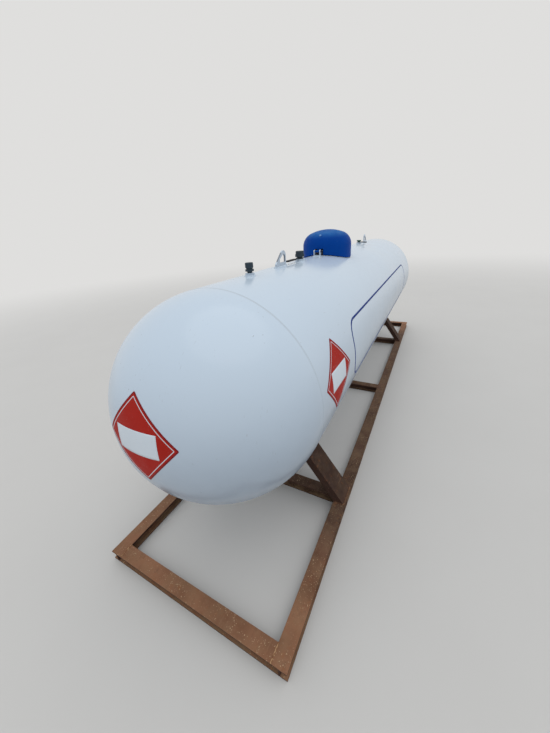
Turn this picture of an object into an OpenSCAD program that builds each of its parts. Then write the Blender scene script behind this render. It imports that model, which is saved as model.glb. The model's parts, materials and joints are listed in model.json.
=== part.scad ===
// Horizontal pressure tank on a skid, seen with its near end at -X.
// X runs along the tank, Z is up, and the origin is on the ground under the middle.

/* [Tank] */
// Outside diameter of the shell and its round ends
tank_d = 1041; // [980:1:1100]
// Length over both round ends
tank_l = 4840; // [4400:10:5200]
// Height of the tank's axis above the ground
axis_h = 950; // [920:1:1000]
// Wall of the shell
shell_t = 7; // [5:0.5:12]
// Wall of the round ends
head_t = 6; // [5:0.5:12]

/* [Skid] */
// Length of the skid over its end members
skid_l = 4925; // [4500:5:5300]
// Width of the skid over its rails
skid_w = 1130; // [1080:1:1200]
// Width of the rolled section
member_w = 76; // [66:1:90]
// Depth of the rolled section
member_h = 64; // [54:1:90]
// Thickness of its flanges
flange_t = 7; // [5:0.5:10]
// Thickness of its web
web_t = 6; // [5:0.5:10]
// Radius in the section's inner corners
fillet_r = 5; // [3:0.5:8]

/* [Legs] */
// Distance of each pair of legs from the seam of the round end
leg_in = 367.5; // [250:0.5:550]
// Width of a leg along the rail
leg_w = 152; // [120:1:180]
// Depth of a leg's channel
leg_d = 50; // [40:1:55]
// Wall of a leg's channel
leg_t = 7; // [5:0.5:10]
// Lean of a leg above the level
leg_lean = 54.5; // [52:0.5:58]
// Strip of rail that stays free outside a leg
leg_inset = 8; // [2:1:12]

/* [Lifting lugs] */
// Distance of each lug's upright edge from the seam of the round end
lug_in = 757.5; // [650:0.5:850]
// Length of a lug along the tank
lug_l = 133; // [120:1:160]
// Height of a lug above the shell
lug_h = 92; // [80:1:110]
// Radius of its rounded top
lug_r = 32; // [28:1:36]
// Plate thickness
lug_t = 10; // [8:1:20]
// Steel left beside the hole, at the upright edge
lug_rim = 11; // [10:1:20]
// Steel left over the hole
lug_crest = 21; // [11:1:26]
// Height of the hole's lower edge
lug_sill = 25; // [20:1:30]
// Height of the upright stretch under the lug's sloping edge
lug_foot = 20; // [8:1:28]
// Length of the hole along the tank
eye_l = 73; // [60:1:78]
// Height of the upright stretch under the hole's sloping edge
eye_foot = 20; // [4:1:24]

/* [Hood] */
// Place of the hood's middle along the tank
hood_x = -317; // [-400:1:-200]
// Outside diameter of the hood
hood_d = 406; // [390:1:420]
// Height of the straight wall above the shell's top line
hood_wall_h = 62.5; // [58:0.5:75]
// Radius of the shoulder
knuckle_r = 107; // [95:1:115]
// Radius of the crowned top
crown_r = 365; // [340:1:400]
// Sheet thickness of the hood
hood_t = 2.5; // [2:0.5:4]
// Gap between the rim and the shell
rim_gap = 5; // [5:0.5:8]

/* [Hinge] */
// Distance of the hinge pin from the hood's wall
pin_out = 37; // [30:1:42]
// Height of the hinge pin above the shell's top line
pin_h = 34; // [32:1:38]
// Radius of the hinge pin
pin_r = 5; // [4:0.5:7]
// Running clearance round the pin
pin_play = 0.08; // [0.05:0.01:0.1]
// Thickness of each ear
ear_t = 7; // [6:0.5:12]
// Half of the gap between the ears
ear_gap = 20; // [20:0.5:26]
// Radius of an ear's round end
ear_r = 12; // [11:0.5:17]
// Width of the hinge arm
arm_w = 34; // [28:1:36]
// Thickness of the hinge arm
arm_t = 5; // [4:0.5:6]
// Angle of the hood's bolt round the shoulder
bolt_angle = 50; // [45:1:60]
// Radius of the bolt
bolt_r = 5; // [4:0.5:6]

/* [Top fittings] */
// Distance of the near fitting from the seam of the round end
near_in = 332.5; // [200:0.5:450]
// Distance of the middle fitting from the near lug's upright edge
mid_from_lug = 232; // [215:1:262]
// Distance of the far fitting from the far lug's upright edge
far_from_lug = 262; // [220:1:340]
// Turn of the far lever from the tank's line towards the right side
far_turn = 35; // [0:1:60]
// Height of a coupling above the shell's top line
coupling_h = 15; // [12:1:20]
// Length of a hand lever from the middle of its valve
lever_l = 211; // [160:1:220]
// Length of a lever's grip
grip_l = 126; // [90:1:130]
// Width of a lever's flat bar
lever_w = 16; // [12:1:20]
// Thickness of a lever's flat bar
lever_t = 5; // [4:0.5:6]
// Width of a lever's grip
grip_w = 22; // [20:1:26]
// Thickness of a lever's grip
grip_t = 9; // [8:0.5:10]

/* [Valves under the hood] */
// Distance of the outer valves from the hood's middle, along the tank
valve_dx = 88; // [80:1:95]
// Distance of the outer valves from the tank's top line
valve_dy = 70; // [64:1:76]
// Radius of the service valve's outlet bore
outlet_r = 11; // [9:0.5:12]
// Depth of the service valve's outlet bore
outlet_l = 22; // [18:1:26]
// Reach of the outlet from the middle of the service valve
outlet_reach = 46; // [40:1:50]
// Radius of the service valve's hand wheel
wheel_r = 25; // [20:1:28]
// Thickness of the hand wheel
wheel_h = 9; // [6:0.5:10]
// Scallops round the hand wheel
wheel_lobes = 8; // [6:1:10]

/* [Hidden] */
$fn = 96;
tank_r = tank_d / 2;
top_z = axis_h + tank_r;
head_x = tank_l / 2 - tank_r;
over = 1;
core_sides = 720;
white = [0.86, 0.89, 0.93];
primer = [0.56, 0.37, 0.30];
blue = [0.06, 0.26, 0.55];
dark = [0.24, 0.27, 0.28];
green = [0.14, 0.27, 0.22];
black = [0.09, 0.09, 0.10];
brass = [0.72, 0.58, 0.30];
steel = [0.60, 0.61, 0.62];
yellow = [0.80, 0.65, 0.16];
red = [0.62, 0.16, 0.12];

// skid and legs
rail_y = skid_w / 2 - member_w / 2;
cross_l = skid_w - 2 * member_w;
tongue_l = 2 * rail_y - web_t;
tongue_h = member_h - 2 * flange_t - 2 * fillet_r;
end_x = skid_l / 2 - member_w / 2;
foot_y = skid_w / 2 - leg_inset;
foot_b = -foot_y * cos(leg_lean) + (member_h - axis_h) * sin(leg_lean);
foot_c = foot_y * foot_y + (member_h - axis_h) * (member_h - axis_h) - tank_r * tank_r;
leg_l = -foot_b - sqrt(foot_b * foot_b - foot_c);

// places that keep to the ends of the shell
leg_x = head_x - leg_in;
lug_x = head_x - lug_in;
near_x = near_in - head_x;
mid_x = mid_from_lug - lug_x;
far_x = lug_x - far_from_lug;

// hood and hinge
hood_r = hood_d / 2;
shoulder_z = top_z + hood_wall_h;
knuckle_x = hood_r - knuckle_r;
crown_rise = crown_r - sqrt(pow(crown_r - knuckle_r, 2) - pow(knuckle_x, 2));
crown_depth = crown_r - crown_rise;
pin_x = hood_x - hood_r - pin_out;
pin_z = top_z + pin_h;
pin_head_r = pin_r + 3;
pin_head_h = 3;
arm_gap = 3.5;
arm_x = hood_x - hood_r + hood_t + arm_gap + arm_t / 2;
barrel_r = pin_r + 3;
barrel_l = 2 * ear_gap - 4;
bracket_w = 2 * (ear_gap + ear_t);
notch_gap = 8;
notch_rise = 16;
bolt_gap = 4;
bolt_head_r = 9;
bolt_head_h = 6;
washer_h = 3.5;
plate_half = 14;

// Each fitting is a stack of straight pieces from its coupling up: radius, height, sides.
hex = 6;
near_base_r = 24.5;
near_stack = [[13, 8, $fn], [22.5, 10, hex], [17, 7, $fn]];
mid_base_r = 32;
mid_stack = [[20, 14, $fn], [31.5, 18, $fn]];
far_base_r = 28;
far_stack = [[12, 12, $fn], [25, 12, $fn]];
service_base_r = 22;
service_stack = [[17, 14, hex], [15, 38, $fn], [11, 10, hex], [4, 16, $fn]];
filling_base_r = 32;
filling_stack = [[29, 16, hex], [23, 22, $fn]];
vapour_base_r = 24;
vapour_stack = [[20, 14, hex], [15, 18, $fn]];
gauge_base_r = 36;
gauge_stack = [[38, 9, $fn], [22, 10, $fn]];
dial_stack = [[27, 7, $fn]];
relief_base_r = 30;
relief_stack = [[27, 14, hex], [22, 42, $fn]];

// Each cap: radius, height, radius of its upper edge.
near_cap = [21, 25.5, 2.5];
mid_cap = [28, 20, 3];
filling_lid = [29, 24, 4];
vapour_lid = [20, 20, 3];
relief_lid = [25, 12, 3];

// places of the fittings, seen from above
coupling_z = top_z + coupling_h;
near_p = [near_x, 0];
mid_p = [mid_x, 0];
far_p = [far_x, 0];
service_p = [hood_x - valve_dx, -valve_dy];
filling_p = [hood_x + valve_dx, -valve_dy];
vapour_p = [hood_x - valve_dx, valve_dy];
gauge_p = [hood_x + valve_dx, valve_dy];
relief_p = [hood_x, 0];

// details of the valves
outlet_wall = 4;
outlet_up = 18;
wheel_seat = 4;
scallop_r = 7;
scallop_out = 3;
screw_ring = 30;
screw_r = 5;
screws = 4;
lever_ring = 7;
lever_lift = 3;

// Solid of the tank's straight part, to cut what stands on it; grow makes it fatter.
module tank_core(grow = 0) {
    translate([0, 0, axis_h])
        rotate([0, 90, 0])
            cylinder(r = tank_r + grow, h = 2 * head_x, center = true, $fn = core_sides);
}

module shell() {
    color(white)
        translate([0, 0, axis_h])
            rotate([0, 90, 0])
                difference() {
                    cylinder(r = tank_r, h = 2 * head_x, center = true);
                    cylinder(r = tank_r - shell_t, h = 2 * head_x + 2 * over, center = true);
                }
}

// A round end; side is -1 for the near one and 1 for the far one.
module round_end(side) {
    color(white)
        translate([side * head_x, 0, axis_h])
            rotate([0, side * 90, 0])
                intersection() {
                    difference() {
                        sphere(r = tank_r);
                        sphere(r = tank_r - head_t);
                    }
                    translate([-tank_r, -tank_r, 0])
                        cube([tank_d, tank_d, tank_r]);
                }
}

// Quarter of a round corner, filling from the corner out to radius r.
module corner_fillet(r) {
    difference() {
        square([r, r]);
        translate([r, r])
            circle(r = r);
    }
}

// Rolled section with two flanges, standing on the X axis.
module rolled_section() {
    translate([-member_w / 2, 0])
        square([member_w, flange_t]);
    translate([-member_w / 2, member_h - flange_t])
        square([member_w, flange_t]);
    translate([-web_t / 2, 0])
        square([web_t, member_h]);
    for (side = [0, 1])
        mirror([side, 0])
            for (upper = [0, 1])
                translate([web_t / 2, upper * member_h])
                    mirror([0, upper])
                        translate([0, flange_t])
                            corner_fillet(fillet_r);
}

module rail(side) {
    color(primer)
        translate([-skid_l / 2, side * rail_y, 0])
            rotate([90, 0, 90])
                linear_extrude(height = skid_l)
                    rolled_section();
}

// Cross member between the rails, with its web running on to the rails' webs.
module cross_member(x) {
    color(primer)
        translate([x, 0, 0]) {
            rotate([90, 0, 0])
                linear_extrude(height = cross_l, center = true)
                    rolled_section();
            translate([-web_t / 2, -tongue_l / 2, member_h / 2 - tongue_h / 2])
                cube([web_t, tongue_l, tongue_h]);
        }
}

// Channel of a leg: its web lies on the X axis and its flanges point to +Y.
module leg_section() {
    translate([-leg_w / 2, 0])
        square([leg_w, leg_t]);
    for (side = [0, 1])
        mirror([side, 0]) {
            translate([leg_w / 2 - leg_t, 0])
                square([leg_t, leg_d]);
            translate([leg_w / 2 - leg_t, leg_t])
                mirror([1, 0])
                    corner_fillet(fillet_r);
        }
}

// One leg, cut level where it stands on the rail and cut round where it meets the shell.
module leg(x, side) {
    color(primer)
        mirror([0, side > 0 ? 1 : 0, 0])
            difference() {
                translate([x, -foot_y, member_h])
                    rotate([leg_lean - 90, 0, 0])
                        translate([0, 0, -leg_d])
                            linear_extrude(height = leg_l + 2.5 * leg_d)
                                leg_section();
                translate([x - leg_w, -skid_w, -member_h])
                    cube([2 * leg_w, 2 * skid_w, 2 * member_h]);
                tank_core();
            }
}

// Outline with a round top, one upright edge at x = 0 and one that slopes away to x = -run, above its foot.
module lug_outline(run, rise, r, foot) {
    base = [-run, foot];
    eye = [-r, rise - r];
    reach = norm(eye - base);
    slope = atan2(eye.y - base.y, eye.x - base.x) + asin(r / reach);
    touch = eye + r * [-sin(slope), cos(slope)];
    polygon([[0, 0], [0, eye.y], eye, touch, base, [-run, 0]]);
    translate(eye)
        circle(r = r);
}

module lug(side) {
    eye_r = lug_r - lug_rim;
    eye_rise = lug_h - lug_crest - lug_sill;
    color(white)
        mirror([side > 0 ? 1 : 0, 0, 0])
            difference() {
                translate([-lug_x, 0, top_z])
                    rotate([90, 0, 0])
                        linear_extrude(height = lug_t, center = true)
                            difference() {
                                union() {
                                    lug_outline(lug_l, lug_h, lug_r, lug_foot);
                                    translate([-lug_l, -shell_t])
                                        square([lug_l, shell_t]);
                                }
                                translate([-lug_rim, lug_sill])
                                    lug_outline(eye_l, eye_rise, eye_r, eye_foot);
                            }
                tank_core();
            }
}

// Round coupling of radius r welded on the shell, with its lower end cut to fit.
module coupling(p, r) {
    difference() {
        translate([p.x, p.y, axis_h])
            cylinder(r = r, h = coupling_z - axis_h);
        tank_core();
    }
}

// Height of the first n pieces of a stack.
function stack_h(pieces, n) = n == 0 ? 0 : pieces[n - 1][1] + stack_h(pieces, n - 1);

// Height of the top of a whole stack above the ground.
function stack_top(pieces) = coupling_z + stack_h(pieces, len(pieces));

// Straight pieces on one another, from z up.
module stack(p, pieces, z = coupling_z) {
    for (i = [0 : len(pieces) - 1])
        translate([p.x, p.y, z + stack_h(pieces, i)])
            cylinder(r = pieces[i][0], h = pieces[i][1], $fn = pieces[i][2]);
}

// Cap with a rounded upper edge; size is its radius, its height and the radius of that edge.
module round_cap(p, z, size) {
    edge = size[2];
    translate([p.x, p.y, z])
        rotate_extrude() {
            square([size[0] - edge, size[1]]);
            square([size[0], size[1] - edge]);
            translate([size[0] - edge, size[1] - edge])
                circle(r = edge);
        }
}

module near_coupling() {
    color(white)
        coupling(near_p, near_base_r);
}

module near_valve() {
    color(dark)
        stack(near_p, near_stack);
}

module near_valve_cap() {
    color(dark)
        round_cap(near_p, stack_top(near_stack), near_cap);
}

module mid_coupling() {
    color(white)
        coupling(mid_p, mid_base_r);
}

module mid_valve() {
    color(dark)
        stack(mid_p, mid_stack);
}

module mid_valve_cap() {
    color(dark)
        round_cap(mid_p, stack_top(mid_stack), mid_cap);
}

// Flat lever with a ring round the neck of its valve, reaching out along -X from the origin.
module lever(neck_r) {
    difference() {
        union() {
            cylinder(r = neck_r + lever_ring, h = lever_t);
            translate([-lever_l + grip_t, -lever_w / 2, 0])
                cube([lever_l - grip_t, lever_w, lever_t]);
        }
        translate([0, 0, -over])
            cylinder(r = neck_r + pin_play, h = lever_t + 2 * over);
    }
}

// Moulded grip round the outer end of a lever.
module grip() {
    difference() {
        translate([-lever_l + grip_w / 2, 0, lever_t / 2 - grip_t / 2]) {
            translate([0, -grip_w / 2, 0])
                cube([grip_l - grip_w / 2, grip_w, grip_t]);
            cylinder(d = grip_w, h = grip_t);
        }
        translate([-lever_l + grip_t, -lever_w / 2, 0])
            cube([lever_l, lever_w, lever_t]);
    }
}

module place_mid_lever() {
    translate([mid_x, 0, coupling_z + lever_lift])
        children();
}

module place_far_lever() {
    translate([far_x, 0, coupling_z + lever_lift])
        rotate([0, 0, far_turn])
            children();
}

module mid_lever() {
    color(dark)
        place_mid_lever()
            lever(mid_stack[0][0]);
}

module mid_grip() {
    color(black)
        place_mid_lever()
            grip();
}

module far_coupling() {
    color(white)
        coupling(far_p, far_base_r);
}

module far_valve() {
    color(green)
        stack(far_p, far_stack);
}

module far_lever() {
    color(dark)
        place_far_lever()
            lever(far_stack[0][0]);
}

module far_grip() {
    color(black)
        place_far_lever()
            grip();
}

// Two ears on a base plate that is cut to sit on the shell.
module hinge_bracket() {
    color(white)
        difference() {
            union() {
                for (side = [-1, 1])
                    translate([pin_x, side * (ear_gap + ear_t / 2), pin_z])
                        rotate([90, 0, 0])
                            linear_extrude(height = ear_t, center = true)
                                union() {
                                    circle(r = ear_r);
                                    translate([-ear_r, -2 * pin_h])
                                        square([2 * ear_r, 2 * pin_h]);
                                }
                translate([pin_x - ear_r, -bracket_w / 2, top_z - pin_h])
                    cube([2 * ear_r, bracket_w, pin_h + arm_t]);
            }
            tank_core();
            translate([pin_x, 0, pin_z])
                rotate([90, 0, 0])
                    cylinder(r = pin_r, h = 2 * bracket_w, center = true);
        }
}

module hinge_pin() {
    color(steel)
        translate([pin_x, 0, pin_z])
            rotate([90, 0, 0]) {
                cylinder(r = pin_r, h = bracket_w, center = true);
                for (side = [0, 1])
                    mirror([0, 0, side])
                        translate([0, 0, bracket_w / 2])
                            cylinder(r = pin_head_r, h = pin_head_h);
            }
}

// Half profile of the hood's top above the shoulder, with its sheet t thinner all round.
module crown_profile(t) {
    crown_z = crown_rise + over;
    intersection() {
        translate([0, -crown_depth])
            circle(r = crown_r - t, $fn = 4 * $fn);
        polygon([[0, 0], [knuckle_x, 0], [knuckle_x * (1 + crown_z / crown_depth), crown_z], [0, crown_z]]);
    }
    intersection() {
        translate([knuckle_x, 0])
            circle(r = knuckle_r - t);
        square([hood_r, knuckle_r]);
    }
}

module hood_solid(t) {
    translate([hood_x, 0, shoulder_z])
        rotate_extrude() {
            crown_profile(t);
            translate([0, axis_h - shoulder_z])
                square([hood_r - t, shoulder_z - axis_h]);
        }
}

// Runs its children along the bolt's axis, from the centre of the shoulder's round outwards.
module along_bolt() {
    translate([hood_x - knuckle_x, 0, shoulder_z])
        rotate([0, bolt_angle - 90, 0])
            children();
}

// Bell of sheet, cut to stand clear of the shell, with a notch that goes round the hinge.
module hood() {
    notch_w = bracket_w + 2 * notch_gap;
    color(blue)
        difference() {
            hood_solid(0);
            hood_solid(hood_t);
            tank_core(rim_gap);
            translate([hood_x - hood_r - over, -notch_w / 2, axis_h])
                cube([knuckle_r / 2, notch_w, pin_z + notch_rise - axis_h]);
            along_bolt()
                cylinder(r = bolt_r, h = 2 * knuckle_r);
        }
}

// Flat stretch of the hinge arm from p to q, seen from the side.
module arm_stretch(p, q) {
    run = q - p;
    translate(p)
        rotate(atan2(run.y, run.x))
            translate([0, -arm_t / 2])
                square([norm(run), arm_t]);
    translate(q)
        circle(d = arm_t);
}

// Bent strap from the hinge's barrel through the notch and up inside the hood to the bolt.
module hinge_arm() {
    out = [-cos(bolt_angle), sin(bolt_angle)];
    along = [-out.y, out.x];
    plate = [hood_x - knuckle_x, shoulder_z] + (knuckle_r - hood_t - bolt_gap - arm_t / 2) * out;
    route = [[pin_x, pin_z], [arm_x, pin_z], [arm_x, shoulder_z + arm_t], plate + plate_half * along,
        plate - plate_half * along];
    color(blue)
        difference() {
            union() {
                rotate([90, 0, 0])
                    linear_extrude(height = arm_w, center = true)
                        for (i = [0 : len(route) - 2])
                            arm_stretch(route[i], route[i + 1]);
                translate([pin_x, 0, pin_z])
                    rotate([90, 0, 0])
                        cylinder(r = barrel_r, h = barrel_l, center = true);
            }
            translate([pin_x, 0, pin_z])
                rotate([90, 0, 0])
                    cylinder(r = pin_r + pin_play, h = 2 * barrel_l, center = true);
            along_bolt()
                cylinder(r = bolt_r, h = 2 * knuckle_r);
        }
}

// Bolt through hood and strap, with a thick washer between them and its nut inside.
module hood_bolt() {
    inside = knuckle_r - hood_t;
    nut = inside - bolt_gap - arm_t - bolt_head_h;
    color(steel)
        along_bolt() {
            translate([0, 0, nut])
                cylinder(r = bolt_r, h = knuckle_r - nut);
            translate([0, 0, knuckle_r])
                cylinder(r = bolt_head_r, h = bolt_head_h);
            translate([0, 0, inside - bolt_gap])
                cylinder(r = bolt_head_r, h = washer_h);
            translate([0, 0, nut])
                cylinder(r = bolt_head_r, h = bolt_head_h, $fn = hex);
        }
}

module valve_couplings() {
    color(white) {
        coupling(service_p, service_base_r);
        coupling(filling_p, filling_base_r);
        coupling(vapour_p, vapour_base_r);
        coupling(gauge_p, gauge_base_r);
        coupling(relief_p, relief_base_r);
    }
}

// Angle valve with its outlet pointing to -Y.
module service_valve() {
    outlet_z = coupling_z + service_stack[0][1] + outlet_up;
    color(brass)
        difference() {
            union() {
                stack(service_p, service_stack);
                translate([service_p.x, service_p.y, outlet_z])
                    rotate([90, 0, 0])
                        cylinder(r = outlet_r + outlet_wall, h = outlet_reach);
            }
            translate([service_p.x, service_p.y - outlet_reach + outlet_l, outlet_z])
                rotate([90, 0, 0])
                    cylinder(r = outlet_r, h = outlet_l + over);
        }
}

// Hand wheel with a scalloped rim, on the valve's stem.
module service_wheel() {
    stem = len(service_stack) - 1;
    seat_z = coupling_z + stack_h(service_stack, stem) + wheel_seat;
    color(red)
        translate([service_p.x, service_p.y, seat_z])
            difference() {
                cylinder(r = wheel_r, h = wheel_h);
                translate([0, 0, -over])
                    cylinder(r = service_stack[stem][0], h = wheel_h + 2 * over);
                for (i = [0 : wheel_lobes - 1])
                    rotate([0, 0, i * 360 / wheel_lobes])
                        translate([wheel_r + scallop_out, 0, -over])
                            cylinder(r = scallop_r, h = wheel_h + 2 * over);
            }
}

module filling_valve() {
    color(brass)
        stack(filling_p, filling_stack);
}

module filling_cap() {
    color(black)
        round_cap(filling_p, stack_top(filling_stack), filling_lid);
}

module vapour_valve() {
    color(brass)
        stack(vapour_p, vapour_stack);
}

module vapour_cap() {
    color(yellow)
        round_cap(vapour_p, stack_top(vapour_stack), vapour_lid);
}

// Gauge head: a flange with screws round its neck.
module float_gauge() {
    color(steel) {
        stack(gauge_p, gauge_stack);
        for (i = [0 : screws - 1])
            translate([gauge_p.x, gauge_p.y, coupling_z + gauge_stack[0][1]])
                rotate([0, 0, (i + 0.5) * 360 / screws])
                    translate([screw_ring, 0, 0])
                        cylinder(r = screw_r, h = screw_r, $fn = hex);
    }
}

module gauge_dial() {
    color(white)
        stack(gauge_p, dial_stack, stack_top(gauge_stack));
}

module relief_valve() {
    color(brass)
        stack(relief_p, relief_stack);
}

module relief_cap() {
    color(red)
        round_cap(relief_p, stack_top(relief_stack), relief_lid);
}

shell();
round_end(-1);  // head_near
round_end(1);  // head_far
rail(-1);  // rail_right
rail(1);  // rail_left
cross_member(-end_x);  // cross_near_end
cross_member(-leg_x);  // cross_near_legs
cross_member(0);  // cross_middle
cross_member(leg_x);  // cross_far_legs
cross_member(end_x);  // cross_far_end
leg(-leg_x, -1);  // leg_near_right
leg(-leg_x, 1);  // leg_near_left
leg(leg_x, -1);  // leg_far_right
leg(leg_x, 1);  // leg_far_left
lug(-1);  // lug_near
lug(1);  // lug_far
near_coupling();
near_valve();
near_valve_cap();
mid_coupling();
mid_valve();
mid_valve_cap();
mid_lever();
mid_grip();
far_coupling();
far_valve();
far_lever();
far_grip();
hinge_bracket();
hinge_pin();
hood();
hinge_arm();
hood_bolt();
valve_couplings();
service_valve();
service_wheel();
filling_valve();
filling_cap();
vapour_valve();
vapour_cap();
float_gauge();
gauge_dial();
relief_valve();
relief_cap();
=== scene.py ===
"""Looks of the horizontal pressure tank on its skid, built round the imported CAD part.

Lengths are in metres. X runs along the tank with its near end at -X, and Z is up.
"""
import json
import math
import random

import bmesh
import bpy
from mathutils import Matrix, Vector


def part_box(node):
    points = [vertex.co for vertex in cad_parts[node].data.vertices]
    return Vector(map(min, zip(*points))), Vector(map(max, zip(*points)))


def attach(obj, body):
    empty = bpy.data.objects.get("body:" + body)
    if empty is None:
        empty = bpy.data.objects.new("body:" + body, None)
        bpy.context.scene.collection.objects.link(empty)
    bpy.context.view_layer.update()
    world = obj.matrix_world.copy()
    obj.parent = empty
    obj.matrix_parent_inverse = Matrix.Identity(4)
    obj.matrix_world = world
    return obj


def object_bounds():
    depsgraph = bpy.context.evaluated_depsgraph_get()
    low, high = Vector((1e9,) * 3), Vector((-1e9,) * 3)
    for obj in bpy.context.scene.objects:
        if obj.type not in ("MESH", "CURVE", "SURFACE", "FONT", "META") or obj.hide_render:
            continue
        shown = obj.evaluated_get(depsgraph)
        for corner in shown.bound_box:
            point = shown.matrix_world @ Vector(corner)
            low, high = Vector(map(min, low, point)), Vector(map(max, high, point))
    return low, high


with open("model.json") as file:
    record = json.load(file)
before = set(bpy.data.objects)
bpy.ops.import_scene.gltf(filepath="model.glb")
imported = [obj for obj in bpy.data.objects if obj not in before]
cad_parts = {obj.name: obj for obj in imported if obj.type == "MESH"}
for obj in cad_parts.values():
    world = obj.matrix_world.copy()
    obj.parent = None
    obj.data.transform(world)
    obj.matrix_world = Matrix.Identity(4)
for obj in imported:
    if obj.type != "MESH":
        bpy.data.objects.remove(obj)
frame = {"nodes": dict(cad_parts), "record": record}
cad_box = [list(corner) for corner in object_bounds()]
NODES = frame["nodes"]
ROOT = "tank"

# sizes that the looks share with the part
shell_lo, shell_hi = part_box("shell")
TANK_R = (shell_hi.z - shell_lo.z) / 2
AXIS_Z = (shell_hi.z + shell_lo.z) / 2
SEAM_X = shell_hi.x
TOP_Z = shell_hi.z
RAIL_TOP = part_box("rail_right")[1].z
CROSS_END_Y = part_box("rail_left")[0].y
# a face closer than this to the shell, or to a rail, lies against it
SHELL_TOUCH = 0.0006
RAIL_TOUCH = 0.0005

# camera, fitted to the photo
FRAME_LONG = 733
FOCAL_PX = 280.54
SENSOR_MM = 36
CAMERA_AT = Vector((-2.855, -0.845, 1.669))
CAMERA_YAW = math.radians(29.79)
CAMERA_PITCH = math.radians(25.58)
CAMERA_ROLL = math.radians(-4.4)

# colour of everything behind the part
BACKDROP = (0.74, 0.735, 0.725)

# painted shade: the skid's paint is darker along its middle, under the tank, and paler at its ends; the
# change starts and ends this far from the middle, along X
SHADE_FADE_FROM = 1.65
SHADE_FADE_TO = 2.35

# thickness of the signs' and stripes' film, and the gap between the cuts that let it follow the shell
FILM = 0.0006
FILM_GRID = 0.012

# diamond signs
SIGN_SIDE = 0.272
SIGN_CORNER_R = 0.006
SIGN_EDGE_W = 0.005
SIGN_LINE_IN = 0.012
SIGN_LINE_W = 0.003
SIGN_LINE_R = 0.004
SIGN_PANEL = (0.214, 0.101)
SIGN_PANEL_R = 0.002
# places of the signs: along and up from the side line, and across and up from a point on the near end
SIDE_SIGN_AT = (-1.65, 0.069)
END_SIGN_AT = (-0.01, -0.003)
# that point lies so far above level, seen from the centre of the end's sphere
SIGN_LIFT_ANGLE = math.radians(8.5)

# stripe: along the tank, and round it from its side line
STRIPE_NEAR_X = -1.345
STRIPE_FAR_X = 1.317
STRIPE_LOW = -0.115
STRIPE_HIGH = 0.245
STRIPE_CORNER_R = 0.11
STRIPE_W = 0.013
STRIPE_GRID = 0.02


class Graph:
    """A material's nodes, with one short call for each kind that is used here."""

    def __init__(self, name):
        self.material = bpy.data.materials.new(name)
        self.material.use_nodes = True
        self.nodes = self.material.node_tree.nodes
        self.links = self.material.node_tree.links
        self.shader = self.nodes["Principled BSDF"]
        own = self.add("ShaderNodeTexCoord")
        self.place = own.outputs["Object"]
        self.normal = own.outputs["Normal"]

    def add(self, kind, **settings):
        node = self.nodes.new(kind)
        for key, value in settings.items():
            setattr(node, key, value)
        return node

    def put(self, socket, value):
        if isinstance(value, bpy.types.NodeSocket):
            self.links.new(value, socket)
        elif isinstance(value, tuple) and len(value) == 3 and socket.type == "RGBA":
            socket.default_value = (*value, 1)
        else:
            socket.default_value = value

    def math(self, operation, a, b=0.0):
        node = self.add("ShaderNodeMath", operation=operation)
        self.put(node.inputs[0], a)
        self.put(node.inputs[1], b)
        return node.outputs[0]

    def stretch(self, scale):
        """The place, scaled along each axis."""
        node = self.add("ShaderNodeMapping")
        self.put(node.inputs["Vector"], self.place)
        node.inputs["Scale"].default_value = scale
        return node.outputs["Vector"]

    def noise(self, scale, detail=3.0, roughness=0.55, vector=None):
        node = self.add("ShaderNodeTexNoise")
        self.put(node.inputs["Vector"], vector or self.place)
        node.inputs["Scale"].default_value = scale
        node.inputs["Detail"].default_value = detail
        node.inputs["Roughness"].default_value = roughness
        return node.outputs["Fac"]

    def step(self, value, low, high, to_low=0.0, to_high=1.0):
        """Goes smoothly from to_low at low to to_high at high."""
        node = self.add("ShaderNodeMapRange", interpolation_type="SMOOTHSTEP")
        self.put(node.inputs["Value"], value)
        node.inputs["From Min"].default_value = low
        node.inputs["From Max"].default_value = high
        node.inputs["To Min"].default_value = to_low
        node.inputs["To Max"].default_value = to_high
        return node.outputs["Result"]

    def mix(self, factor, a, b):
        node = self.add("ShaderNodeMix", data_type="RGBA")
        self.put(node.inputs["Factor"], factor)
        self.put(node.inputs[6], a)
        self.put(node.inputs[7], b)
        return node.outputs[2]

    def axis(self, name, vector=None):
        node = self.add("ShaderNodeSeparateXYZ")
        self.put(node.inputs[0], vector or self.place)
        return node.outputs[name]

    def facing_up(self, low=0.3, high=0.95, least=0.0):
        """1 on the piece's own upper faces, least on its walls and undersides."""
        return self.step(self.axis("Z", self.normal), low, high, least)

    def bump(self, height, distance, strength=1.0, normal=None):
        node = self.add("ShaderNodeBump")
        node.inputs["Strength"].default_value = strength
        node.inputs["Distance"].default_value = distance
        self.put(node.inputs["Height"], height)
        if normal:
            self.put(node.inputs["Normal"], normal)
        return node.outputs["Normal"]

    def finish(self, color, roughness, normal, metallic=0.0, specular=0.5):
        self.put(self.shader.inputs["Base Color"], color)
        self.put(self.shader.inputs["Roughness"], roughness)
        self.put(self.shader.inputs["Normal"], normal)
        self.put(self.shader.inputs["Metallic"], metallic)
        self.put(self.shader.inputs["Specular IOR Level"], specular)
        return self.material


def srgb(r, g, b):
    """Colour as picked on a screen, 0 to 255, to the shader's own scale."""
    def one(c):
        c /= 255
        return c / 12.92 if c <= 0.04045 else ((c + 0.055) / 1.055) ** 2.4
    return one(r), one(g), one(b)


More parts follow.
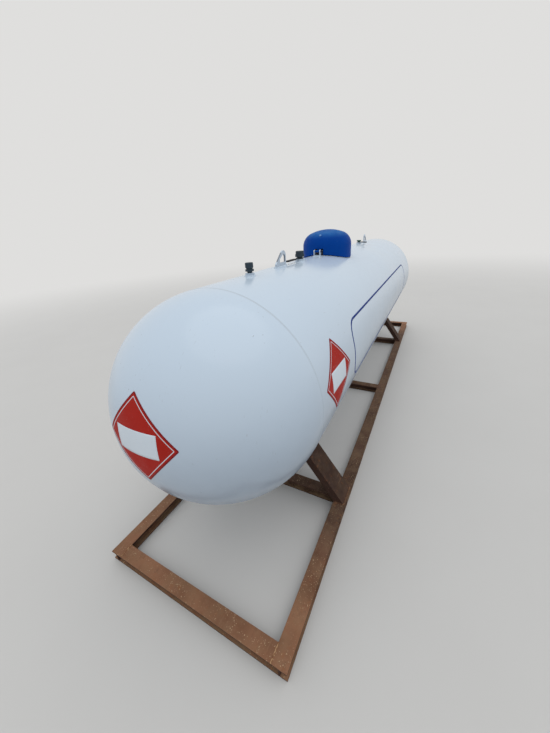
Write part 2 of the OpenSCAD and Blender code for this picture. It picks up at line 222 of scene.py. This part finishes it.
def make_tank_paint():
    """Pale gloss enamel, clean above and darker towards the belly, with grime and painted shade."""
    g = Graph("tank_paint")
    tone = g.mix(g.noise(0.9, 3), srgb(198, 212, 226), srgb(204, 217, 229))
    height = g.axis("Z")
    # grime and painted shade that darken the shell towards the belly, in soft patches
    patches = g.step(g.noise(2.2, 5, 0.6), 0.3, 0.7, 0.75, 1.0)
    belly = g.math("MULTIPLY", g.step(height, 1.36, 0.5, 0, 0.85), patches)
    tone = g.mix(belly, tone, srgb(124, 137, 154))
    # thin runs of dirt, drawn out round the shell below its middle
    runs = g.step(g.noise(1.0, 3, 0.6, g.stretch((38, 1.6, 1.6))), 0.55, 0.75, 0, 0.25)
    run_zone = g.math("MULTIPLY", g.step(height, 1.1, 0.8), g.step(g.noise(1.7, 2), 0.45, 0.65))
    tone = g.mix(g.math("MULTIPLY", runs, run_zone), tone, srgb(128, 132, 134))
    # dirt caught beside the ring welds, most of it on top
    along = g.math("ABSOLUTE", g.axis("X"))
    beside = g.math("ABSOLUTE", g.math("SUBTRACT", along, SEAM_X))
    caught = g.math("MULTIPLY", g.step(beside, 0.009, 0.003), g.step(height, 1.0, 1.45, 0.04, 0.28))
    tone = g.mix(caught, tone, srgb(146, 148, 146))
    # painted shade: the walls of the plates and pipes that stand on the shell are darker than their tops
    standing_wall_shade = g.math("MULTIPLY", g.step(height, TOP_Z + 0.001, TOP_Z + 0.004), g.facing_up(0.7, 0.2))
    tone = g.mix(g.math("MULTIPLY", standing_wall_shade, 0.5), tone, srgb(158, 168, 180))
    # painted shade, dull grey, on the lugs' edge faces round and inside their eyes
    eye_lo, eye_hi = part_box("lug_far")
    after_foot = g.step(along, eye_lo.x + 0.006, eye_lo.x + 0.01)
    before_foot = g.step(along, eye_hi.x - 0.012, eye_hi.x - 0.02)
    inside = g.math("MULTIPLY", after_foot, before_foot)
    inside = g.math("MULTIPLY", inside, g.step(height, eye_hi.z - 0.008, eye_hi.z - 0.014))
    rim = g.step(g.math("ABSOLUTE", g.axis("Y", g.normal)), 0.6, 0.3)
    above_foot = g.step(height, TOP_Z + 0.012, TOP_Z + 0.016)
    painted_shade_mask = g.math("MULTIPLY", g.math("MULTIPLY", inside, rim), above_foot)
    tone = g.mix(g.math("MULTIPLY", painted_shade_mask, 0.8), tone, srgb(96, 100, 108))
    # a few small chips, specks and hairline scratches
    specks = g.step(g.noise(95, 2, 0.5), 0.735, 0.765, 0, 0.8)
    specks = g.math("MULTIPLY", specks, g.step(g.noise(2.4, 3), 0.5, 0.6))
    tone = g.mix(specks, tone, srgb(112, 110, 108))
    hairs = g.step(g.noise(1.0, 2, 0.5, g.stretch((14, 260, 30))), 0.7, 0.735, 0, 0.3)
    hairs = g.math("MULTIPLY", hairs, g.step(g.noise(3.3, 2), 0.56, 0.64))
    tone = g.mix(hairs, tone, srgb(140, 142, 144))
    gloss = g.step(g.noise(4, 4), 0.3, 0.7, 0.19, 0.26)
    return g.finish(tone, gloss, g.bump(g.noise(1.6, 2), 0.004, 0.25))


def unshaded_ends(g):
    """0 along the middle of the skid, where its paint is darkened as painted shade from the tank above, 1
    at its ends.
    """
    return g.step(g.math("ABSOLUTE", g.axis("X")), SHADE_FADE_FROM, SHADE_FADE_TO)


def make_skid_primer():
    """Scuffed red-brown primer with rust, grit and dust, and painted shade: darker on its walls, darker
    still on the legs under the tank, and darker along the skid's middle than at its paler ends.
    """
    g = Graph("skid_primer")
    blend = g.noise(7, 5, 0.6)
    # painted shade: the walls are darker copies of the upper faces' primer
    walls = g.mix(blend, srgb(62, 43, 36), srgb(80, 56, 46))
    # painted shade: the legs, under the tank, are darker still
    leg_shade = g.step(g.axis("Z"), RAIL_TOP + 0.005, RAIL_TOP + 0.05)
    walls = g.mix(leg_shade, walls, g.mix(blend, srgb(50, 35, 29), srgb(66, 46, 38)))
    # painted shade: the upper faces are darker along the skid's middle, under the tank, and paler at its
    # ends
    middle = g.mix(g.step(blend, 0.26, 0.74), srgb(75, 54, 44), srgb(97, 71, 59))
    ends = g.mix(g.step(blend, 0.26, 0.74), srgb(122, 83, 61), srgb(156, 109, 81))
    tone = g.mix(g.facing_up(0.62, 0.97), walls, g.mix(unshaded_ends(g), middle, ends))
    # dark stains, bare rust and pale scratches
    tone = g.mix(g.step(g.noise(14, 6, 0.7), 0.52, 0.68, 0, 0.4), tone, srgb(76, 53, 42))
    rust = g.step(g.noise(26, 5, 0.7), 0.56, 0.72, 0, 0.5)
    rust = g.math("MULTIPLY", rust, g.facing_up(0.2, 0.95, 0.25))
    tone = g.mix(rust, tone, srgb(150, 90, 50))
    scratches = g.noise(1.0, 3, 0.6, g.stretch((9, 150, 150)))
    tone = g.mix(g.step(scratches, 0.64, 0.74, 0, 0.35), tone, srgb(166, 130, 102))
    # grit and dust that lie on the upper faces, most of it on the low ones near the ground
    grit = g.step(g.noise(180, 2, 0.5), 0.655, 0.685)
    grit = g.math("MULTIPLY", grit, g.step(g.noise(9, 3), 0.42, 0.58, 0.25, 1.0))
    tone = g.mix(g.math("MULTIPLY", grit, g.facing_up(0.8, 0.95)), tone, srgb(200, 171, 136))
    low = g.step(g.axis("Z"), 0.03, 0.012, 0.35, 0.85)
    dust = g.math("MULTIPLY", g.facing_up(), g.step(g.noise(11, 5, 0.65), 0.35, 0.7, 0.08, 1.0))
    tone = g.mix(g.math("MULTIPLY", dust, low), tone, srgb(142, 116, 88))
    rough = g.step(g.noise(25, 4), 0.3, 0.7, 0.6, 0.88)
    scale = g.bump(g.noise(60, 5, 0.65), 0.0012, 0.55)
    return g.finish(tone, rough, g.bump(g.noise(400, 2), 0.0003, 0.4, scale), specular=0.15)


def make_skid_weld():
    """Rusty, dusty weld beads, paler than the primer round them, most of all at the skid's ends; along the
    middle, under the tank, they are darkened as painted shade.
    """
    g = Graph("skid_weld")
    blend = g.noise(45, 4, 0.6)
    # painted shade: darker along the skid's middle, under the tank
    painted_shade_mask = unshaded_ends(g)
    middle = g.mix(blend, srgb(76, 50, 38), srgb(112, 79, 59))
    tone = g.mix(painted_shade_mask, middle, g.mix(blend, srgb(104, 68, 48), srgb(162, 115, 82)))
    pale = g.mix(painted_shade_mask, srgb(140, 106, 80), srgb(194, 156, 116))
    tone = g.mix(g.step(g.noise(120, 2), 0.46, 0.58, 0, 0.8), tone, pale)
    rough = g.step(g.noise(40, 3), 0.3, 0.7, 0.6, 0.85)
    return g.finish(tone, rough, g.bump(g.noise(300, 4), 0.0008, 0.7), 0.1, 0.2)


def make_hood_paint():
    """Saturated blue, with a painted sheen on top."""
    g = Graph("hood_paint")
    tone = g.mix(g.noise(9, 4), srgb(0, 57, 138), srgb(0, 68, 154))
    # painted sheen: upper faces lighter blue, in place of the sky's reflection
    top_sheen = g.math("MULTIPLY", g.facing_up(0.5, 1.0), g.step(g.noise(14, 4), 0.3, 0.7, 0.5, 0.8))
    tone = g.mix(top_sheen, tone, srgb(42, 112, 176))
    tone = g.mix(g.step(g.noise(120, 3), 0.7, 0.75, 0, 0.6), tone, srgb(14, 34, 66))
    streaks = g.noise(1.0, 3, 0.6, g.stretch((55, 55, 5)))
    tone = g.mix(g.step(streaks, 0.62, 0.8, 0, 0.25), tone, srgb(60, 104, 158))
    rough = g.step(g.noise(20, 3), 0.3, 0.7, 0.42, 0.58)
    dents = g.bump(g.noise(7, 2), 0.003, 0.25)
    surface = g.bump(g.noise(300, 2), 0.0003, 0.4, dents)
    return g.finish(tone, rough, surface, specular=0.05)


def make_cast(name, dark, pale, rust, metallic):
    """Weathered cast or painted metal; rust is how much of it shows."""
    g = Graph(name)
    tone = g.mix(g.noise(30, 5, 0.6), dark, pale)
    tone = g.mix(g.step(g.noise(60, 5, 0.7), 0.6, 0.72, 0, rust), tone, srgb(104, 76, 58))
    dust = g.math("MULTIPLY", g.facing_up(), g.step(g.noise(40, 4), 0.35, 0.7, 0.02, 0.2))
    tone = g.mix(dust, tone, srgb(124, 128, 130))
    rough = g.step(g.noise(50, 3), 0.3, 0.7, 0.45, 0.7)
    return g.finish(tone, rough, g.bump(g.noise(260, 4), 0.0006, 0.6), metallic, 0.3)


def make_bolt_glint():
    """Plated bolt head, painted pale blue as a glint of the sky's reflection, with darker blotches."""
    g = Graph("hood_bolt")
    # painted glint: pale blue in place of the sky's reflection on the head
    tone = g.mix(g.noise(160, 4, 0.6), srgb(62, 116, 180), srgb(108, 156, 208))
    tone = g.mix(g.step(g.noise(240, 4, 0.7), 0.56, 0.68, 0, 0.6), tone, srgb(70, 96, 132))
    rough = g.step(g.noise(90, 3), 0.3, 0.7, 0.35, 0.5)
    return g.finish(tone, rough, g.bump(g.noise(500, 3), 0.0002, 0.5), 0.2)


def make_bare_steel():
    """Drawn steel with rust coming through."""
    g = Graph("bare_steel")
    drawn = g.noise(1.0, 4, 0.6, g.stretch((20, 240, 240)))
    tone = g.mix(drawn, srgb(132, 134, 136), srgb(176, 178, 180))
    tone = g.mix(g.step(g.noise(45, 5, 0.7), 0.58, 0.7, 0, 0.6), tone, srgb(118, 84, 62))
    rough = g.step(g.noise(40, 3), 0.3, 0.7, 0.3, 0.5)
    return g.finish(tone, rough, g.bump(g.noise(300, 3), 0.0003, 0.5), 0.9)


def make_brass():
    """Dull brass with darker tarnish."""
    g = Graph("valve_brass")
    tone = g.mix(g.noise(24, 5, 0.6), srgb(196, 162, 96), srgb(168, 132, 74))
    tone = g.mix(g.step(g.noise(70, 4, 0.7), 0.58, 0.72, 0, 0.7), tone, srgb(104, 88, 62))
    rough = g.step(g.noise(40, 3), 0.3, 0.7, 0.28, 0.45)
    return g.finish(tone, rough, g.bump(g.noise(340, 3), 0.0003, 0.5), 1.0)


def make_plastic(name, dark, pale, rough_low, rough_high, grain):
    """Moulded plastic or rubber with a faint grain and dust on top."""
    g = Graph(name)
    tone = g.mix(g.noise(22, 4), dark, pale)
    dust = g.math("MULTIPLY", g.facing_up(), g.step(g.noise(60, 4), 0.35, 0.75, 0.02, 0.14))
    tone = g.mix(dust, tone, srgb(168, 164, 156))
    rough = g.step(g.noise(45, 3), 0.3, 0.7, rough_low, rough_high)
    return g.finish(tone, rough, g.bump(g.noise(500, 2), grain, 0.6), specular=0.3)


def make_vinyl(name, dark, pale):
    """Printed film stuck on the paint, a little uneven in tone and scratched."""
    g = Graph(name)
    tone = g.mix(g.noise(9, 4), dark, pale)
    scratches = g.noise(1.0, 3, 0.6, g.stretch((30, 160, 160)))
    tone = g.mix(g.step(scratches, 0.66, 0.74, 0, 0.4), tone, srgb(190, 182, 176))
    rough = g.step(g.noise(16, 3), 0.3, 0.7, 0.42, 0.56)
    return g.finish(tone, rough, g.bump(g.noise(90, 3), 0.0004, 0.3), specular=0.05)


MATERIALS = {
    "tank_paint": make_tank_paint(),
    "skid_primer": make_skid_primer(),
    "hood_paint": make_hood_paint(),
    "dark_metal": make_cast("dark_metal", srgb(40, 52, 61), srgb(58, 72, 82), 0.2, 0.2),
    "green_metal": make_cast("green_metal", srgb(12, 70, 60), srgb(32, 94, 80), 0.25, 0.1),
    "bare_steel": make_bare_steel(),
    "black_grip": make_plastic("black_grip", srgb(18, 22, 27), srgb(32, 37, 42), 0.5, 0.7, 0.0008),
    "black_cap": make_plastic("black_cap", srgb(30, 30, 32), srgb(46, 46, 48), 0.4, 0.55, 0.0004),
    "valve_brass": make_brass(),
    "wheel_red": make_plastic("wheel_red", srgb(150, 36, 30), srgb(176, 50, 40), 0.35, 0.5, 0.0004),
    "yellow_cap": make_plastic("yellow_cap", srgb(206, 168, 44), srgb(222, 186, 66), 0.35, 0.5, 0.0004),
    "dial_white": make_plastic("dial_white", srgb(222, 222, 214), srgb(234, 234, 228), 0.25, 0.4, 0.0002),
}
SKID_WELD = make_skid_weld()
BOLT_GLINT = make_bolt_glint()
SIGN_RED = make_vinyl("sign_red", srgb(158, 34, 26), srgb(174, 42, 33))
SIGN_EDGE = make_vinyl("sign_edge", srgb(122, 26, 30), srgb(140, 34, 36))
SIGN_WHITE = make_vinyl("sign_white", srgb(206, 214, 222), srgb(216, 223, 230))
DIAL_PRINT = make_vinyl("dial_print", srgb(26, 26, 28), srgb(44, 44, 46))
DIAL_NEEDLE = make_vinyl("dial_needle", srgb(176, 34, 28), srgb(196, 46, 36))
STRIPE_BLUE = make_vinyl("stripe_blue", srgb(20, 46, 116), srgb(30, 58, 134))


def paint_nodes():
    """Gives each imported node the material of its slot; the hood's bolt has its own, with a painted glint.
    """
    slots = {part["node"]: part["material_slot"] for part in frame["record"]["subparts"]}
    for name, node in NODES.items():
        node.data.materials.clear()
        node.data.materials.append(BOLT_GLINT if name == "hood_bolt" else MATERIALS[slots[name]])


def new_piece(name, bm, material, body=ROOT, slot=None):
    """Makes a smooth piece of the mesh in bm that rides on a body; slot is not used."""
    mesh = bpy.data.meshes.new(name)
    bmesh.ops.recalc_face_normals(bm, faces=bm.faces)
    bm.to_mesh(mesh)
    bm.free()
    for face in mesh.polygons:
        face.use_smooth = True
    mesh.materials.append(material)
    piece = bpy.data.objects.new(name, mesh)
    bpy.context.scene.collection.objects.link(piece)
    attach(piece, body)


def rings_of_edges(edges):
    """Orders loose edges into closed rings of points."""
    around = {}
    for edge in edges:
        for a, b in (edge.verts, reversed(edge.verts)):
            around.setdefault(a, []).append(b)
    rings = []
    seen = set()
    for start in around:
        if start in seen:
            continue
        ring = []
        here = start
        while here and here not in seen:
            seen.add(here)
            ring.append(here.co.copy())
            here = next((n for n in around[here] if n not in seen), None)
        rings.append(ring)
    return rings


def contact_rings(node_name, touches):
    """Outlines of the faces of a node that lie against another piece; touches says which faces do."""
    bm = bmesh.new()
    bm.from_mesh(NODES[node_name].data)
    bmesh.ops.remove_doubles(bm, verts=bm.verts, dist=1e-5)
    bm.normal_update()
    there = {face for face in bm.faces if touches(face)}
    rings = rings_of_edges([e for e in bm.edges if sum(f in there for f in e.link_faces) == 1])
    bm.free()
    return rings


def on_shell(face):
    """Whether a face lies against the tank's round shell."""
    middle = face.calc_center_median()
    radial = Vector((0, middle.y, middle.z - AXIS_Z))
    near = all(abs(math.hypot(v.co.y, v.co.z - AXIS_Z) - TANK_R) < SHELL_TOUCH for v in face.verts)
    return near and abs(face.normal.dot(radial.normalized())) > 0.5


def on_rail(face):
    """Whether a face stands on a rail."""
    return face.normal.z < -0.9 and all(abs(v.co.z - RAIL_TOP) < RAIL_TOUCH for v in face.verts)


def on_rail_side(face):
    """Whether a cross member's end face lies against a rail."""
    near = all(abs(abs(v.co.y) - CROSS_END_Y) < RAIL_TOUCH for v in face.verts)
    return near and abs(face.normal.y) > 0.9


def resample(points, spacing):
    """Even points along a closed ring."""
    lengths = [(points[(i + 1) % len(points)] - p).length for i, p in enumerate(points)]
    count = max(8, round(sum(lengths) / spacing))
    gap = sum(lengths) / count
    out = []
    i = 0
    passed = 0.0
    for k in range(count):
        while passed + lengths[i] < k * gap:
            passed += lengths[i]
            i += 1
        share = (k * gap - passed) / max(lengths[i], 1e-9)
        out.append(points[i].lerp(points[(i + 1) % len(points)], share))
    return out


def in_box(point):
    """The point, or the nearest one to it in the part's own box."""
    return Vector([min(max(c, low), high) for c, low, high in zip(point, *cad_box)])


def weld_bead(bm, ring, radius, seed):
    """Adds a rippled bead along a closed ring of points."""
    spacing = 0.0035
    sides = 8
    ripple = 0.14
    ripple_steps = 2.7
    rng = random.Random(seed)
    points = resample(ring, spacing)
    loops = []
    for i, p in enumerate(points):
        along = (points[(i + 1) % len(points)] - points[i - 1]).normalized()
        side = along.orthogonal().normalized() if not loops else side - along * side.dot(along)
        side.normalize()
        up = along.cross(side)
        wave = ripple * math.sin(2 * math.pi * i / ripple_steps)
        size = radius * (1 + wave + rng.uniform(-ripple, ripple) / 2)
        loops.append([
            bm.verts.new(in_box(p + size * (math.cos(a) * side + math.sin(a) * up)))
            for a in (2 * math.pi * k / sides for k in range(sides))
        ])
    for i, loop in enumerate(loops):
        after = loops[(i + 1) % len(loops)]
        # the last ring may be turned against the first, so it starts at the nearest point
        turn = min(range(sides), key=lambda k: (after[k].co - loop[0].co).length)
        for k in range(sides):
            n = (k + 1) % sides
            bm.faces.new((loop[k], loop[n], after[(n + turn) % sides], after[(k + turn) % sides]))


def add_welds():
    """Beads round the feet of all that is welded to the shell or the skid."""
    legs = ["leg_near_right", "leg_near_left", "leg_far_right", "leg_far_left"]
    crosses = ["cross_near_end", "cross_near_legs", "cross_middle", "cross_far_legs", "cross_far_end"]
    couplings = ["near_coupling", "mid_coupling", "far_coupling", "valve_couplings"]
    tank_paint = MATERIALS["tank_paint"]
    groups = [
        ("leg_welds", legs, on_shell, 0.005, SKID_WELD, "skid_primer"),
        ("foot_welds", legs, on_rail, 0.005, SKID_WELD, "skid_primer"),
        ("cross_welds", crosses, on_rail_side, 0.0035, SKID_WELD, "skid_primer"),
        ("lug_welds", ["lug_near", "lug_far"], on_shell, 0.006, tank_paint, "tank_paint"),
        ("coupling_welds", couplings, on_shell, 0.005, tank_paint, "tank_paint"),
        ("bracket_weld", ["hinge_bracket"], on_shell, 0.004, tank_paint, "tank_paint"),
    ]
    for name, nodes, touches, radius, material, slot in groups:
        bm = bmesh.new()
        for seed, node in enumerate(nodes, 1):
            for ring in contact_rings(node, touches):
                weld_bead(bm, ring, radius, seed)
        new_piece(name, bm, material, slot=slot)


def add_seams():
    """Low ring welds where the round ends meet the shell."""
    half_w = 0.0038
    rise = 0.0009
    sink = 0.0004
    sway = 0.0006
    ripples = 190
    ripple = 0.12
    around = 720
    across = 6
    for name, x in (("seam_near", -SEAM_X), ("seam_far", SEAM_X)):
        bm = bmesh.new()
        rng = random.Random(7)
        rows = []
        for i in range(around):
            a = 2 * math.pi * i / around
            middle = rng.uniform(-sway, sway)
            row = []
            for k in range(across + 1):
                t = 2 * k / across - 1
                r = TANK_R - sink + rise * (1 - t * t) * (1 + ripple * math.sin(a * ripples))
                spot = (x + t * half_w + middle, r * math.cos(a), AXIS_Z + r * math.sin(a))
                row.append(bm.verts.new(spot))
            rows.append(row)
        for i, row in enumerate(rows):
            after = rows[(i + 1) % around]
            for k in range(across):
                bm.faces.new((row[k], row[k + 1], after[k + 1], after[k]))
            bm.faces.new((row[across], row[0], after[0], after[across]))
        new_piece(name, bm, MATERIALS["tank_paint"], slot="tank_paint")


def side_point(side):
    """Maps along and up from the tank's level side line onto the shell; side is -1 for the right side."""
    def place(u, v, lift):
        r = TANK_R + lift
        return Vector((u, side * r * math.cos(v / TANK_R), AXIS_Z + r * math.sin(v / TANK_R)))
    return place


def end_point(u, v, lift):
    """Maps across and up from a point a little above the middle of the near round end."""
    middle = Vector((-math.cos(SIGN_LIFT_ANGLE), 0, math.sin(SIGN_LIFT_ANGLE)))
    across = Vector((0, -1, 0))
    up = Vector((math.sin(SIGN_LIFT_ANGLE), 0, math.cos(SIGN_LIFT_ANGLE)))
    d = math.hypot(u, v)
    heading = (across * u + up * v) / d if d else up
    spot = middle * math.cos(d / TANK_R) + heading * math.sin(d / TANK_R)
    return Vector((-SEAM_X, 0, AXIS_Z)) + (TANK_R + lift) * spot


def rounded_box(w, h, r, arc_steps=5):
    """Outline of a box with round corners, about its middle."""
    out = []
    for cx, cy, start in ((1, 1, 0), (-1, 1, 90), (-1, -1, 180), (1, -1, 270)):
        for k in range(arc_steps + 1):
            a = math.radians(start + 90 * k / arc_steps)
            out.append((cx * (w / 2 - r) + r * math.cos(a), cy * (h / 2 - r) + r * math.sin(a)))
    return out


def turned(points, degrees):
    """The points, turned about the origin."""
    c = math.cos(math.radians(degrees))
    s = math.sin(math.radians(degrees))
    return [(c * u - s * v, s * u + c * v) for u, v in points]


def film_patch(bm, outline, place, lift, shift=(0, 0)):
    """Adds a thin sheet with that outline, cut fine enough to follow the surface."""
    sheet = bmesh.new()
    sheet.faces.new([sheet.verts.new((u, v, 0)) for u, v in outline])
    for axis in (0, 1):
        low = min(p[axis] for p in outline)
        high = max(p[axis] for p in outline)
        for k in range(1, math.ceil((high - low) / FILM_GRID)):
            cut = Vector((0, 0, 0))
            cut[axis] = low + k * FILM_GRID
            normal = Vector((0, 0, 0))
            normal[axis] = 1
            parts = list(sheet.verts) + list(sheet.edges) + list(sheet.faces)
            bmesh.ops.bisect_plane(sheet, geom=parts, plane_co=cut, plane_no=normal)
    rim = [e for e in sheet.edges if e.is_boundary]
    upper, lower = (
        {v: bm.verts.new(place(v.co.x + shift[0], v.co.y + shift[1], level)) for v in sheet.verts}
        for level in (lift, -FILM)
    )
    for face in sheet.faces:
        bm.faces.new([upper[v] for v in face.verts])
        bm.faces.new([lower[v] for v in reversed(face.verts)])
    for edge in rim:
        a, b = edge.verts
        bm.faces.new((upper[a], upper[b], lower[b], lower[a]))
    sheet.free()


def film_band(bm, outer, inner, place, lift, shift=(0, 0)):
    """Adds a closed band between two outlines that have the same number of points."""
    rings = []
    for outline in (outer, inner):
        for level in (lift, -FILM):
            rings.append([bm.verts.new(place(u + shift[0], v + shift[1], level)) for u, v in outline])
    outer_up, outer_low, inner_up, inner_low = rings
    n = len(outer)
    for i in range(n):
        j = (i + 1) % n
        bm.faces.new((outer_up[i], outer_up[j], inner_up[j], inner_up[i]))
        bm.faces.new((outer_low[j], outer_low[i], inner_low[i], inner_low[j]))
        bm.faces.new((outer_low[i], outer_low[j], outer_up[j], outer_up[i]))
        bm.faces.new((inner_up[i], inner_up[j], inner_low[j], inner_low[i]))


def paired_outlines(w, h, r, inset, gap, degrees=0):
    """A rounded box and the same one inset, both turned, in pairs of points no more than gap apart."""
    outer = rounded_box(w, h, r)
    inner = rounded_box(w - 2 * inset, h - 2 * inset, max(r - inset, 0.0005))
    pairs = [(*a, *b) for a, b in zip(outer, inner)]
    out = []
    for i, p in enumerate(pairs):
        q = pairs[(i + 1) % len(pairs)]
        count = max(1, math.ceil(math.hypot(q[0] - p[0], q[1] - p[1]) / gap))
        out += [[a + (b - a) * k / count for a, b in zip(p, q)] for k in range(count)]
    return turned([p[:2] for p in out], degrees), turned([p[2:] for p in out], degrees)


def add_sign(name, place, shift, tilt):
    """Diamond sign with a border line and a bare white panel, tilted by that many degrees."""
    diamond = 45 + tilt
    # the edge and the print stand a little proud of the sheet, so that no two of them share a face
    edge_lift = 1.3 * FILM
    print_lift = 1.5 * FILM
    edge_side = SIGN_SIDE + 0.0002
    line_side = SIGN_SIDE - 2 * SIGN_LINE_IN
    sheet = bmesh.new()
    film_patch(sheet, turned(rounded_box(SIGN_SIDE, SIGN_SIDE, SIGN_CORNER_R), diamond), place, FILM, shift)
    new_piece(name + "_sheet", sheet, SIGN_RED)
    edge = bmesh.new()
    outer, inner = paired_outlines(edge_side, edge_side, SIGN_CORNER_R, SIGN_EDGE_W, FILM_GRID, diamond)
    film_band(edge, outer, inner, place, edge_lift, shift)
    new_piece(name + "_edge", edge, SIGN_EDGE)
    lines = bmesh.new()
    outer, inner = paired_outlines(line_side, line_side, SIGN_LINE_R, SIGN_LINE_W, FILM_GRID, diamond)
    film_band(lines, outer, inner, place, print_lift, shift)
    film_patch(lines, turned(rounded_box(*SIGN_PANEL, SIGN_PANEL_R), tilt), place, print_lift, shift)
    new_piece(name + "_lines", lines, SIGN_WHITE)


def add_stripe(name, side):
    """Outline of a long panel with round corners on one side of the tank."""
    length = STRIPE_FAR_X - STRIPE_NEAR_X
    height = STRIPE_HIGH - STRIPE_LOW
    middle = ((STRIPE_NEAR_X + STRIPE_FAR_X) / 2, (STRIPE_LOW + STRIPE_HIGH) / 2)
    lift = 0.8 * FILM
    bm = bmesh.new()
    outer, inner = paired_outlines(length, height, STRIPE_CORNER_R, STRIPE_W, STRIPE_GRID)
    film_band(bm, outer, inner, side_point(side), lift, middle)
    new_piece(name, bm, STRIPE_BLUE)


def add_gauge_marks():
    """Scale and needle on the dial of the level gauge."""
    marks = 21
    first_turn = 130
    step_turn = 13
    long_every = 5
    needle_turn = 78
    low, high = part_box("gauge_dial")
    middle = (low + high) / 2
    face_r = (high.x - low.x) / 2

    def place(u, v, lift):
        return Vector((middle.x + u, middle.y + v, high.z + FILM / 2 + lift))

    def mark(bm, turn, start, end, width):
        """Adds a bar along a radius of the dial, in shares of that radius."""
        box = rounded_box(width * face_r, (end - start) * face_r, 0.2 * width * face_r, 3)
        bar = [(u, v + (start + end) / 2 * face_r) for u, v in box]
        film_patch(bm, turned(bar, turn), place, 0)

    scale = bmesh.new()
    for k in range(marks):
        start, width = (0.66, 0.07) if k % long_every == 0 else (0.74, 0.035)
        mark(scale, first_turn - step_turn * k, start, 0.86, width)
    new_piece("gauge_scale", scale, DIAL_PRINT)
    needle = bmesh.new()
    mark(needle, needle_turn, -0.18, 0.62, 0.07)
    film_patch(needle, rounded_box(0.2 * face_r, 0.2 * face_r, 0.0999 * face_r, 6), place, 0)
    new_piece("gauge_needle", needle, DIAL_NEEDLE)


def add_floor():
    """Pale floor, just under the part's base, that takes the backdrop's colour far from the part."""
    reach = 60.0
    patch = 0.7
    drop = 0.001
    fade_from = 5.0
    fade_to = 16.0
    mesh = bpy.data.meshes.new("floor")
    corners = [(-reach, -reach, 0), (reach, -reach, 0), (reach, reach, 0), (-reach, reach, 0)]
    mesh.from_pydata(corners, [], [(0, 1, 2, 3)])
    floor = bpy.data.objects.new("floor", mesh)
    floor.location.z = -drop
    bpy.context.scene.collection.objects.link(floor)
    g = Graph("floor")
    tone = g.mix(g.noise(1 / patch, 3), (0.60, 0.575, 0.545), (0.63, 0.605, 0.575))
    g.finish(tone, 0.9, g.bump(g.noise(40, 3), 0.001, 0.2))
    far = g.add("ShaderNodeEmission")
    g.put(far.inputs["Color"], BACKDROP)
    away = g.add("ShaderNodeVectorMath", operation="LENGTH")
    g.put(away.inputs[0], g.place)
    blend = g.add("ShaderNodeMixShader")
    g.put(blend.inputs["Fac"], g.step(away.outputs["Value"], fade_from, fade_to))
    g.put(blend.inputs[1], g.shader.outputs[0])
    g.put(blend.inputs[2], far.outputs[0])
    output = g.nodes["Material Output"]
    g.put(output.inputs["Surface"], blend.outputs[0])
    mesh.materials.append(g.material)


def add_world():
    """Plain bluish sky that lights the part; the camera, gloss and glass see the backdrop instead."""
    world = bpy.data.worlds.new("studio")
    world.use_nodes = True
    tree = world.node_tree
    sky = tree.nodes["Background"]
    sky.inputs["Color"].default_value = (0.9, 0.95, 1.0, 1)
    sky.inputs["Strength"].default_value = 0.8
    seen = tree.nodes.new("ShaderNodeBackground")
    seen.inputs["Color"].default_value = (*BACKDROP, 1)
    seen.inputs["Strength"].default_value = 1.0
    path = tree.nodes.new("ShaderNodeLightPath")
    looks = path.outputs["Is Camera Ray"]
    for ray in ("Is Glossy Ray", "Is Transmission Ray"):
        either = tree.nodes.new("ShaderNodeMath")
        either.operation = "MAXIMUM"
        tree.links.new(looks, either.inputs[0])
        tree.links.new(path.outputs[ray], either.inputs[1])
        looks = either.outputs[0]
    blend = tree.nodes.new("ShaderNodeMixShader")
    tree.links.new(looks, blend.inputs["Fac"])
    tree.links.new(sky.outputs[0], blend.inputs[1])
    tree.links.new(seen.outputs[0], blend.inputs[2])
    tree.links.new(blend.outputs[0], tree.nodes["World Output"].inputs["Surface"])
    bpy.context.scene.world = world


def add_sun():
    """Broad soft light from above, that gives the sky's middle a little more weight."""
    lamp = bpy.data.lights.new("sky_light", "SUN")
    lamp.energy = 0.65
    lamp.angle = math.radians(70)
    lamp.color = (1.0, 0.99, 0.97)
    sun = bpy.data.objects.new("sky_light", lamp)
    sun.rotation_mode = "QUATERNION"
    sun.rotation_quaternion = Vector((-0.1, 0.15, -1)).to_track_quat("-Z", "Y")
    bpy.context.scene.collection.objects.link(sun)


def add_camera():
    """Camera with the place, turns and lens that were fitted to the photo."""
    level = math.cos(CAMERA_PITCH)
    forward = Vector((math.cos(CAMERA_YAW) * level, math.sin(CAMERA_YAW) * level, -math.sin(CAMERA_PITCH)))
    flat_right = Vector((math.sin(CAMERA_YAW), -math.cos(CAMERA_YAW), 0))
    flat_up = flat_right.cross(forward)
    right = math.cos(CAMERA_ROLL) * flat_right + math.sin(CAMERA_ROLL) * flat_up
    up = math.cos(CAMERA_ROLL) * flat_up - math.sin(CAMERA_ROLL) * flat_right
    data = bpy.data.cameras.new("camera")
    data.sensor_width = SENSOR_MM
    data.lens = FOCAL_PX / FRAME_LONG * SENSOR_MM
    data.clip_end = 200
    camera = bpy.data.objects.new("camera", data)
    camera.rotation_mode = "QUATERNION"
    camera.rotation_quaternion = Matrix((right, up, -forward)).transposed().to_quaternion()
    camera.location = CAMERA_AT
    bpy.context.scene.collection.objects.link(camera)
    bpy.context.scene.camera = camera


add_camera()
bpy.context.scene.view_settings.view_transform = "Standard"
add_world()
add_floor()
add_sun()
paint_nodes()
add_welds()
add_seams()
add_sign("side_sign", side_point(-1), SIDE_SIGN_AT, -2)
add_sign("end_sign", end_point, END_SIGN_AT, 1)
add_stripe("stripe_right", -1)
add_stripe("stripe_left", 1)
add_gauge_marks()
